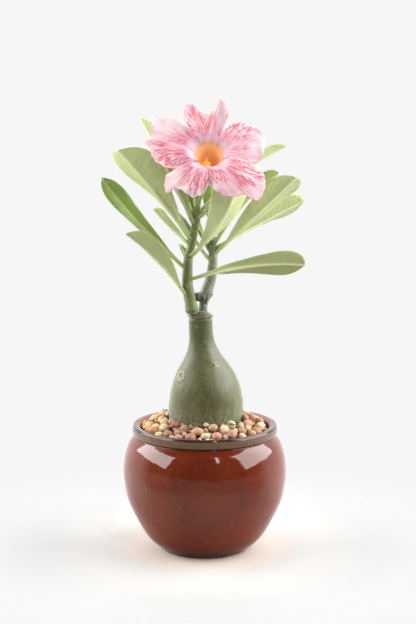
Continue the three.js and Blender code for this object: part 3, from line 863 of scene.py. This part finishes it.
def make_caudex():
    shape = Shape()
    loops = []
    for k in range(TRUNK_RINGS + 1):
        radius, height, _ = spline([(*p, 0) for p in CAUDEX_OUTLINE], k / TRUNK_RINGS)
        lean = NECK_LEAN * smooth(height, 108, 146)
        loop = []
        for i in range(TRUNK_SIDES):
            turn = tau * i / TRUNK_SIDES
            lobes = 1 + 0.02 * cos(3 * (pi / 2 - turn) + 0.8) + 0.012 * cos(5 * turn)
            flank = level_at(turn)
            spot = flank * radius + Vector((0, 0, height))
            ridges = 0.1 * rough((spot.x, spot.y, spot.z * 0.22), 3.2)
            ridges += 0.04 * rough((spot.x, spot.y, spot.z * 0.18), 1.2, 7)
            swell = 0.5 * rough(spot, 17, 3)
            rings_round = 0.1 * smooth(height, 112, 126) * rough((0, spot.x * 0.1, height), 1.7, 5)
            moved, dark, ring = scar_at(turn, height, radius)
            fade = smooth(height, 38, 50) * (1 - smooth(height, NECK_TOP - 1, NECK_TOP + 1.3))
            reach = radius * lobes + (ridges + swell + rings_round + moved) * fade - GAP
            point = flank * reach + Vector((lean, 0, height))
            loop.append(shape.add(point, scar=dark, ring=ring))
        loops.append(loop)
    add_rings(shape, loops)
    shape.piece("trunk", LOOKS["trunk"], replaces=["caudex"])


STEMS = {
    "left": [
        (-7.6, -3.5, 148.9), (-8.3, -4, 153.6), (-9.2, -4.1, 158.5), (-10.6, -3.6, 167),
        (-10.5, -3, 176), (-9.8, -2.5, 184), (-8.2, -2, 191), (-6.6, -2, 199), (-5.3, -2, 207.5),
        (-4.3, -2, 215.5),
    ],
    "right": [
        (-1.2, 1.8, 146.5), (-0.8, 1.8, 154), (0.9, 2.6, 161), (2.9, 4, 167), (4.3, 5, 173),
        (5, 6, 180), (5, 7, 187), (4.6, 7.5, 193.5),
    ],
}
STEM_CAP = 0.965  # where a stem's tip starts to round off
STEM_LENGTH = {"left": 68, "right": 48}

# Rings left by fallen leaves: (share of the stem's length, degrees round it, radius).
STEM_SCARS = {
    "left": [
        (0.1, 60, 1.6), (0.22, 200, 1.3), (0.33, 80, 1.2), (0.43, 250, 1.2), (0.53, 100, 1.1),
        (0.62, 20, 1.1), (0.7, 300, 1.0), (0.79, 130, 1.0), (0.875, 70, 1.7), (0.93, 50, 1.0),
        (0.965, 85, 1.6),
    ],
    "right": [
        (0.16, 60, 1.4), (0.25, 150, 2.3), (0.3, 150, 1.7), (0.44, 95, 1.4), (0.54, 70, 1.4),
        (0.66, 130, 1.2), (0.757, 85, 1.3), (0.84, 80, 1.0), (0.91, 140, 1.0),
    ],
}


def stem_point(stem, share):
    return spline(STEMS[stem], share, reach_past_ends=True)


def stem_radius(stem, share):
    if stem == "left":
        elbow = 1 - smooth(share, 0.06, 0.2)
        radius = mix(3.7, 2.5, smooth(share, 0.2, 0.8)) + 0.8 * elbow
        toe = 1 - min(1, share / 0.06)
        radius *= sqrt(1 - 0.9 * toe * toe)
    else:
        radius = mix(3.9, 2.5, smooth(share, 0.35, 1)) - 1.1 * (1 - smooth(share, 0.12, 0.3))
    end = max(0, (share - STEM_CAP) / (1 - STEM_CAP))
    return radius * (1 - 0.4 * end * end)


# A dead stub low on the right stem, pointing at the left one.
STUB_START = Vector((1.0, 0.9, 157.8))
STUB_END = Vector((-6.9, -1.0, 159.9))


def add_stub(shape):
    def crust(share, turn):
        return rough((2 * cos(turn), 2 * sin(turn), 9 * share), 0.9, 6)

    def radius(share, turn):
        ridge = 0.35 * bump(share, 0.3, 0.07) + 0.4 * bump(share, 0.72, 0.08)
        return mix(3.6, 2.2, share) - 0.7 * smooth(share, 0.9, 1) + ridge + 0.5 * crust(share, turn)

    def marks(share, turn):
        dark = 0.95 + 0.7 * crust(share, turn)
        return {"scar": dark, "ring": 0.35 * bump(share, 0.3, 0.05)}

    add_sweep(shape, lambda share: STUB_START.lerp(STUB_END, share), 40, 36, radius, marks)


def make_stem(stem):
    def surface(share, turn):
        radius = stem_radius(stem, share)
        point = stem_point(stem, share)
        flank = level_at(turn) * radius
        moved = 0.06 * rough((flank + point) * 0.5, 1.3, 2) + 0.14 * rough(point, 6, 4)
        if stem == "right":
            moved += 0.9 * max(0, cos(turn)) ** 2 * bump(share, 0.29, 0.05)
        dark, ring = 0.0, 0.0
        for place, degrees, size in STEM_SCARS[stem]:
            around = turned(turn, degrees)
            off = (share - place) * STEM_LENGTH[stem]
            away = hypot(around * radius, off) / size
            if away < 3:
                stub = size > 2
                moved += 0.22 * bump(away, 1, 0.35) + (0.8 if stub else -0.2) * bump(away, 0, 0.5)
                dark = max(dark, (1.2 if stub else 0.8) * bump(away, 0, 0.6 if stub else 0.45))
                ring = max(ring, 0.6 * bump(away, 1, 0.3))
            near = 1 - smooth(abs(around), 1.2, 2.6)
            moved += 0.12 * near * bump(off, 0.25 * cos(around), 0.35)
            ring = max(ring, 0.9 * near * bump(off, 0.25 * cos(around), 0.3))
            dark = max(dark, 0.3 * near * bump(off, 0.25 * cos(around) - 0.7, 0.25))
        return radius - 0.15 + moved, dark, ring

    def marks(share, turn):
        _, dark, ring = surface(share, turn)
        return {"scar": dark, "ring": ring}

    shape = Shape()
    curve = partial(stem_point, stem)
    add_sweep(shape, curve, STEM_STEPS, STEM_SIDES, lambda share, turn: surface(share, turn)[0], marks)
    if stem == "right":
        add_stub(shape)
    shape.piece(f"stem_{stem}_bark", LOOKS[stem], replaces=[f"stem_{stem}"])


# ---- Leaves ----

# Stem, place on it, heading, rise, length, half width, droop, roll and fold, as in the CAD
# source or close to it; then how bright the leaf is, from 0 (deep green) to 1
# (yellow-green), and for some how sharp each half's end is.
LEAVES = [
    ("left", 0.73, 196, 53, 71, 15.5, 6, 36, 30, 0.8, 0.3, 0.8),
    ("left", 0.462, 162, 39, 77.6, 7.6, -14, -35, 22, 0.85, 1.0, 1.0),
    ("left", 0.26, 205, 51, 57, 12, 16, 18, 34, 0.72),
    ("left", 0.69, 172, 38, 31, 5, -12, 40, 35, 0.72),
    ("left", 0.5, 108, 30, 18, 3, -10, 30, 30, 0.1),
    ("left", 0.574, 318, 36, 68, 13, -46, -20, 24, 1.0),
    ("right", 0.83, 340, 42, 71, 12, -2, -34, 20, 0.8, 0.8, 0.45),
    ("right", 0.9, 20, 25, 66, 10.5, 2, -46, 20, 0.62),
    ("left", 0.384, 354, 15.5, 72, 8.6, 20, -64, 10, 0.5, 0.45, 1.0),
    ("left", 0.91, 150, 57, 70.5, 13, 0, 34, 24, 0.3, 1.0, 1.0),
    ("left", 0.945, 33, 39, 76, 12.5, 22, -20, 24, 0.75, 1.0, 1.0),
    ("right", 0.975, 344, 56, 60, 10.5, 24, 20, 24, 0.75),
    ("left", 0.86, 200, 64, 50, 11, 0, 30, 26, 0.45),
    ("left", 0.9, 96, 64, 45, 13.5, 0, 0, 20, 0.46),
    ("left", 0.91, 344, 33, 34, 6, -4, -20, 24, 0.3),
    ("right", 0.85, 160, 56, 32, 6, -16, 0, 24, 0.2),
    ("right", 0.74, 176, 48, 36, 6, -16, 0, 24, 0.25),
    ("right", 0.935, 90, 64, 50, 8, 10, 0, 24, 0.45),
]
LEAF_BLUNT = 0.8  # how sharp a leaf's end is: 0.4 is rounded, 1 is pointed


@cache
def widest(blunt):
    """The greatest value of a leaf's outline, which scales it to the leaf's half width."""
    return max((k / 100) ** 1.15 * (1 - (k / 100) ** 8) ** blunt for k in range(100))


MIDRIB_STEPS = 40
LEAF_ROWS = 56
LEAF_COLUMNS = 20


def make_leaf(number, leaf):
    stem, place, heading, rise, length, half_width, droop, roll, fold, bright, *ends = leaf
    blunt_right, blunt_left = ends or (LEAF_BLUNT, LEAF_BLUNT)
    turn = radians(heading)
    level = level_at(turn)
    side = Vector((-sin(turn), cos(turn), 0))
    up = Vector((0, 0, 1))
    start = stem_point(stem, place) + level * 1.2
    points = [(start, radians(rise))]
    for i in range(1, MIDRIB_STEPS + 1):
        pitch = radians(rise - droop * ((i - 0.5) / MIDRIB_STEPS) ** 1.5)
        step = up * sin(pitch) + level * cos(pitch)
        points.append((points[-1][0] + step * (length / MIDRIB_STEPS), pitch))

    def blade(row, across):
        along = 1 - (1 - row) ** 2
        exact = along * MIDRIB_STEPS
        before = min(int(exact), MIDRIB_STEPS - 1)
        (from_point, from_pitch), (to_point, to_pitch) = points[before : before + 2]
        middle = from_point.lerp(to_point, exact - before)
        pitch = mix(from_pitch, to_pitch, exact - before)
        upward = up * cos(pitch) - level * sin(pitch)
        rolled = radians(roll) * smooth(along, 0, 0.35)
        sideways = side * cos(rolled) + upward * sin(rolled)
        normal = upward * cos(rolled) - side * sin(rolled)
        stalk = 1.25 * PETIOLE_HALF_WIDTH * (1 - along) + LEAF_THICKNESS / 2
        blunt = blunt_left if across > 0 else blunt_right
        outline = along**1.15 * (1 - along**8) ** blunt / widest(blunt)
        half = max(stalk, half_width * outline)
        folded = radians(fold) * smooth(along, 0.05, 0.4) * (1 - 0.4 * along)
        off = abs(across)
        wave = 0.09 * half * across * across * sin(9 * along + number + 2 * across)
        ripple = 0.35 * smooth(along, 0.15, 0.5) * off * off * rough((along * 11, across * 2, number), 1)
        quilting = 0.1 * rough((along * length, across * half, number * 9), 3.4)
        point = middle + sideways * (across * half * cos(folded))
        point += normal * (off * half * sin(folded) + wave + ripple + quilting)
        aside = across * half
        ridge = bump(aside, 0, mix(1.7, 0.8, along)) * mix(1.5, 0.35, along)
        groove = 0.28 * bump(aside, 0, 0.9) * smooth(along, 0.05, 0.2)
        thick = mix(0.4, 0.12, off**4)
        values = {"blade": (aside, along * length, half), "tint": (bright, along, 0.0)}
        return point + normal * (thick - groove), point - normal * (thick + ridge), values

    shape = Shape()
    add_sheet(shape, LEAF_ROWS, LEAF_COLUMNS, blade)
    label = f"{number + 1:02d}"
    shape.piece(f"blade_{label}", LOOKS["leaf"], replaces=[f"leaf_{label}"])


# ---- Bloom ----

RISE = radians(BLOOM_RISE)
BLOOM_RIGHT = Vector((1, 0, 0))
BLOOM_UP = Vector((0, sin(RISE), cos(RISE)))
BLOOM_OUT = Vector((0, -cos(RISE), sin(RISE)))

# The five lobes, each as seen facing the bloom: where its root starts and ends round the
# throat (degrees), its curl and phase, then the outline from one root to the other, and
# how far out its veins reach along that outline (as a share of the lobe's length).
LOBES = [
    (
        (118, 216, 3.5, 0),
        [(-15, 22), (-20, 26), (-26.5, 27.8), (-32.5, 25), (-34.8, 18.5), (-34.6, 12.5), (-38.3, 9.2),
         (-35.4, 5.5), (-34.2, 0), (-30.5, -5.6), (-25, -9), (-17, -9.6), (-10.5, -8)],
        [0.4, 0.5, 0.62, 0.85, 1.0, 1.0, 0.95, 0.85],
    ),
    (
        (54, 128, -1, 1.9),
        [(10.8, 19), (12, 24), (12, 29), (10.8, 34), (8.4, 37.6), (5.6, 37.8), (4.6, 34), (2.6, 29.4),
         (-1.4, 27), (-5.4, 27.6), (-8.4, 31), (-12, 32.6), (-15.6, 30), (-17, 24)],
        [0.4, 0.45, 0.55, 0.8, 1.0, 1.0, 1.0, 0.8],
    ),
    (
        (-20, 62, 3, 3.1),
        [(21, -7), (28.5, -4.6), (31.4, -1.5), (32.4, 3), (33.2, 8), (32.6, 13.5), (28.4, 17.8),
         (23.4, 21), (18.2, 23.4), (13.6, 22), (10.2, 18.5)],
        [0.35, 0.55, 0.75, 0.72, 0.85, 1.15, 1.15, 1.0],
    ),
    (
        (-102, -10, 2, 4.4),
        [(-2.2, -20), (1.6, -23), (4.4, -26), (9, -28.6), (15, -29), (20.6, -28.6), (25, -32),
         (28.6, -32.2), (31.2, -27.4), (32.8, -21.4), (32.2, -15), (29.8, -9.6), (23, -5)],
        [0.6, 0.75, 0.75, 0.8, 0.85, 0.95, 0.95, 0.7],
    ),
    (
        (204, 270, 2.5, 5.5),
        [(-14.5, -9), (-20, -10.6), (-24.4, -13), (-26.2, -18), (-26, -23), (-24.8, -27.4), (-21.4, -24.6),
         (-17.4, -24.4), (-13.6, -26.6), (-9.6, -28.8), (-5.6, -28.4), (-2.6, -25), (-0.6, -20.5)],
        [0.6, 0.62, 0.62, 0.75, 0.88, 0.95, 0.95, 0.85],
    ),
]
TUBE_OUTSIDE = [
    (TUBE_FOOT_RADIUS, -TUBE_LENGTH), (TUBE_FOOT_RADIUS + 0.8, -TUBE_LENGTH + 5),
    (5.2, -TUBE_LENGTH + 10), (6.9, -10), (7.7, -6.4), (8.0, -5.3),
]
ROOT_DEPTH = 4.6  # how far inside the throat a lobe starts
LOBE_ROWS = 56
LOBE_COLUMNS = 60


def bloom_point(right, up, out):
    return MOUTH + BLOOM_RIGHT * right + BLOOM_UP * up + BLOOM_OUT * out


def add_lobe(shape, number, lobe):
    (first, last, curl, phase), outline, vein_reach = lobe
    root = THROAT_RADIUS - 1.2

    def petal(row, across):
        share = (across + 1) / 2
        edge_right, edge_up, _ = spline([(*p, 0) for p in outline], share)
        angle = radians(mix(first, last, share))
        right = mix(root * cos(angle), edge_right, row)
        up = mix(root * sin(angle), edge_up, row)
        frayed = 1.1 * smooth(row, 0.6, 1) * rough((edge_right, edge_up, number * 5), 2.6)
        right += frayed * cos(angle)
        up += frayed * sin(angle)
        margin = max(abs(across) ** 3, smooth(row, 0.7, 1))
        wave = sin(4.2 * row * copysign(1, across) + phase + 3 * across)
        ruffle = 1.7 * row * abs(across) * wave
        frill = 0.6 * row * margin * sin(15 * row + 9 * across + phase * 3)
        frill += 1.1 * smooth(row, 0.45, 1) * rough((edge_right, edge_up, number * 9), 5.5)
        lap = 0.6 * across * smooth(row, 0.1, 0.5) * (1 - 0.6 * row)
        crease = -0.5 * bump(across, 0, 0.12) * smooth(row, 0.0, 0.2) * (1 - row)
        crinkle = 0.16 * rough((across * 5, row * 2.2, number * 3), 0.5)
        out = ruffle + frill + lap + crease + crinkle - curl * row * row
        out -= 3.2 * (1 - smooth(row, 0, 0.28)) + (ROOT_DEPTH - 3.2) * (1 - smooth(row, 0, 0.1))
        thin = mix(PETAL_THICKNESS * 0.8, 0.3, max(abs(across), row) ** 3)
        limit = spline([(v, 0, 0) for v in vein_reach], share).x
        values = {
            "petal": (across, row, number * 2.7),
            "limit": limit,
            "depth": 0.0,
            "reach": hypot(right + 0.5 * smooth(right, 0, 8), up - 0.8) * MM,
        }
        return bloom_point(right, up, out), bloom_point(right, up, out - thin), values

    add_sheet(shape, LOBE_ROWS, LOBE_COLUMNS, petal)


def make_corolla():
    shape = Shape()
    for number, lobe in enumerate(LOBES):
        add_lobe(shape, number, lobe)
    outside = curve_points(TUBE_OUTSIDE, 30)
    inside = [(radius - PETAL_THICKNESS, height + 0.3) for radius, height in outside]
    profile = [(0, -TUBE_LENGTH), *outside, *reversed(inside), (0, -TUBE_LENGTH + PETAL_THICKNESS)]
    count = len(outside)

    def depth(k, radius, height):
        deep = min(1, max(0, -height / TUBE_LENGTH))
        outer = 1.0 if k <= count else 0.0
        place = {"petal": (0.0, 0.0, 0.0), "limit": 0.0, "reach": 0.0}
        return {**place, "depth": 0.05 + 0.95 * deep, "under": outer}

    add_lathe(shape, profile, 60, lambda p: bloom_point(*p), depth)
    shape.piece("bloom", LOOKS["petal"], replaces=["corolla"])


ANTHER_LEAN = -1.7  # how far the anthers lean to the left as seen facing the bloom


def make_stamens():
    """Five downy anthers that lean together in a blunt cone, each with a thin tail."""
    foot = -TUBE_LENGTH + PETAL_THICKNESS + GAP
    shape = Shape()
    for i in range(5):
        turn = tau * (i + 0.25) / 5

        def arm(share, turn=turn):
            lean = 0.75 + 0.75 * smooth(share, 0.25, 0.5) - 1.0 * smooth(share, 0.6, 0.82)
            spread = lean + 0.6 * smooth(share, 0.84, 1)
            out = foot + 19 * share
            aside = ANTHER_LEAN * smooth(share, 0.05, 0.55)
            return bloom_point(spread * cos(turn) + aside, spread * sin(turn), out)

        def girth(share, _turn):
            body = smooth(share, 0.2, 0.45) * (1 - smooth(share, 0.66, 0.84))
            return 0.22 + 1.02 * body - 0.08 * share

        add_sweep(shape, arm, 44, 12, girth)
    shape.piece("anthers", LOOKS["anther"], replaces=["stamens"])


def make_calyx():
    shape = Shape()
    stalk = [
        (-4.2, -2.2, 214), (-3.2, -3.2, 219.5), (-0.6, -2.4, 225.5),
        tuple(bloom_point(0, 0, -TUBE_LENGTH - 1.6)),
    ]
    add_sweep(
        shape,
        lambda share: spline(stalk, share, reach_past_ends=True),
        40,
        20,
        lambda share, turn: mix(1.5, 1.2, share) + 1.2 * smooth(share, 0.8, 1),
    )
    top = -TUBE_LENGTH + 2.5
    cup = [
        (0, top - 5.5), (1.6, top - 5.1), (3.0, top - 3.9), (3.8, top - 2.3), (4.1, top),
        (3.2, top), (TUBE_FOOT_RADIUS + 0.4, top - 2.4), (0, top - 2.85),
    ]
    add_lathe(shape, cup, 40, lambda p: bloom_point(*p))
    for point in range(5):
        angle = radians(90 + 72 * point)
        outward = level_at(angle)
        beside = Vector((-sin(angle), cos(angle), 0))

        def sepal(row, across, outward=outward, beside=beside):
            width = 2.3 * (1 - row) ** 0.75 * (0.75 + 0.6 * row) + 0.12
            radius = mix(3.9, 8.2, row) - 0.5 * across * across * (1 - row)
            out = mix(top - 1.2, top + 6.3, row)
            flat = outward * radius + beside * (across * width)
            rise = outward * 0.3
            upper = bloom_point(*(flat - rise).xy, out)
            lower = bloom_point(*(flat + rise * (1 - across * across)).xy, out - 0.15)
            return upper, lower, {}

        blade = Shape()
        add_sheet(blade, 16, 8, sepal)
        offset = len(shape.points)
        shape.points += blade.points
        shape.faces += [tuple(i + offset for i in face) for face in blade.faces]
    shape.piece("sepals", LOOKS["sepal"], replaces=["calyx"])


# ---- Moss on the pebbles ----

# (degrees round from -Y towards +X, distance from the axis, size)
MOSS = [
    (-14, 27.5, 2.4), (-8, 28, 1.8), (32, 28, 2.2), (38, 29, 2.6), (45, 28, 2.4), (150, 28, 2.2),
    (-120, 29, 1.8),
]


def make_moss():
    chance = random.Random(4)
    shape = Shape()
    for degrees, distance, size in MOSS:
        turn = radians(degrees - 90)
        middle = Vector((distance * cos(turn), distance * sin(turn), heap_height(distance) + 2.2))
        for _ in range(26):
            lean = Vector((chance.uniform(-1, 1), chance.uniform(-1, 1), chance.uniform(0.3, 1.1)))
            foot = middle + Vector((lean.x, lean.y, 0)) * size * 0.6
            tip = foot + lean.normalized() * size * chance.uniform(0.5, 0.9)
            add_sweep(
                shape,
                lambda share, a=foot, b=tip: a.lerp(b, share),
                3,
                5,
                lambda share, turn: 0.26 * (1 - share) + 0.06,
            )
    shape.piece("moss", LOOKS["moss"])


# ---- Stage and light ----

FLOOR_RADIUS = 0.24  # metres; the floor fades into the white room before this


def floor_look():
    """Warm white near the pot, greyer further out, fading out into the room. The colour is
    graded by distance from the pot as painted light: the warm ring round the pot is a painted
    bounce from the red glaze.
    """
    look = Look("floor")
    away = look.from_axis()
    fine = look.noise(40, 2)
    # painted light: warm and bright near the pot, duller grey further out
    colour = look.layers(
        look.blend(fine, (0.67, 0.58, 0.51), (0.69, 0.6, 0.53)),
        (away.between(0.038, 0.062), (0.535, 0.525, 0.5)),
        (away.between(0.06, 0.12), (0.425, 0.425, 0.425)),
    )
    look.set("Alpha", away.between(0.05, 0.9 * FLOOR_RADIUS, 1, 0))
    return look.finish(colour, fine.between(0, 1, 0.6, 0.65))


def make_stage():
    mesh = bpy.data.meshes.new("floor")
    corners = [(-1, -1, 0), (1, -1, 0), (1, 1, 0), (-1, 1, 0)]
    mesh.from_pydata([Vector(corner) * FLOOR_RADIUS for corner in corners], [], [(0, 1, 2, 3)])
    mesh.materials.append(floor_look())
    floor = add_object("floor", mesh)


LIGHT_AIM = Vector((0, 0, 0.14))

# Each light's azimuth, elevation, distance, width and height (metres), and power.
LIGHTS = {
    "softbox_left": (-88, 26, 1.1, 1.4, 0.62, 21),
    "softbox_right": (88, 29, 1.1, 1.35, 0.85, 26),
    "window": (19, 36, 1.2, 0.12, 0.5, 2.2),
}


def make_softbox(name, azimuth, elevation, distance, width, height, power):
    """An area light aimed at the plant. Azimuth 0 is the viewer's side, +90 the right."""
    data = bpy.data.lights.new(name, "AREA")
    data.shape = "RECTANGLE"
    data.size = width
    data.size_y = height
    data.energy = power
    light = add_object(name, data)
    turn, lift = radians(azimuth), radians(elevation)
    away = Vector((sin(turn) * cos(lift), -cos(turn) * cos(lift), sin(lift)))
    light.location = LIGHT_AIM + away * distance
    light.rotation_euler = away.to_track_quat("Z", "Y").to_euler()
    light.visible_camera = False


ROOM_SEEN = 0.922  # the backdrop as it looks
ROOM_BACK = 1.5  # the light that it gives from behind
ROOM_BELOW = 0.5  # the light from below, on the viewer's side
ROOM_DARK = 0.1  # the light from above, on the viewer's side


def make_world():
    """A white room, brightest behind the plant and dark above the viewer, so that glaze
    and skin keep their depth. The backdrop itself shows near white."""
    world = bpy.data.worlds.new("studio")
    bpy.context.scene.world = world
    world.use_nodes = True
    tree = world.node_tree
    tree.nodes.clear()
    coordinates = add_node(tree, "TexCoord", {}).outputs["Generated"]
    _, back, top = add_node(tree, "SeparateXYZ", {0: coordinates}).outputs
    above = Value(tree, top).between(-0.02, 0.03)
    front = mix(ROOM_BELOW, ROOM_DARK, above)
    light = mix(ROOM_BACK, front, Value(tree, back).between(0.25, -0.2))
    seen = Value(tree, add_node(tree, "LightPath", {}).outputs["Is Camera Ray"])
    inputs = {"Color": (1, 1, 1), "Strength": mix(light, ROOM_SEEN, seen)}
    background = add_node(tree, "Background", inputs).outputs[0]
    add_node(tree, "OutputWorld", {"Surface": background})
    bpy.context.scene.view_settings.view_transform = "Standard"


make_world()
make_stage()
for name, light in LIGHTS.items():
    make_softbox(name, *light)

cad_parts["potting_soil"].data.materials.clear()
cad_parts["potting_soil"].data.materials.append(LOOKS["soil"])
make_pot()
make_pebbles()
make_grit()
make_caudex()
make_stem("left")
make_stem("right")
for index, row in enumerate(LEAVES):
    make_leaf(index, row)
make_corolla()
make_stamens()
make_calyx()
make_moss()
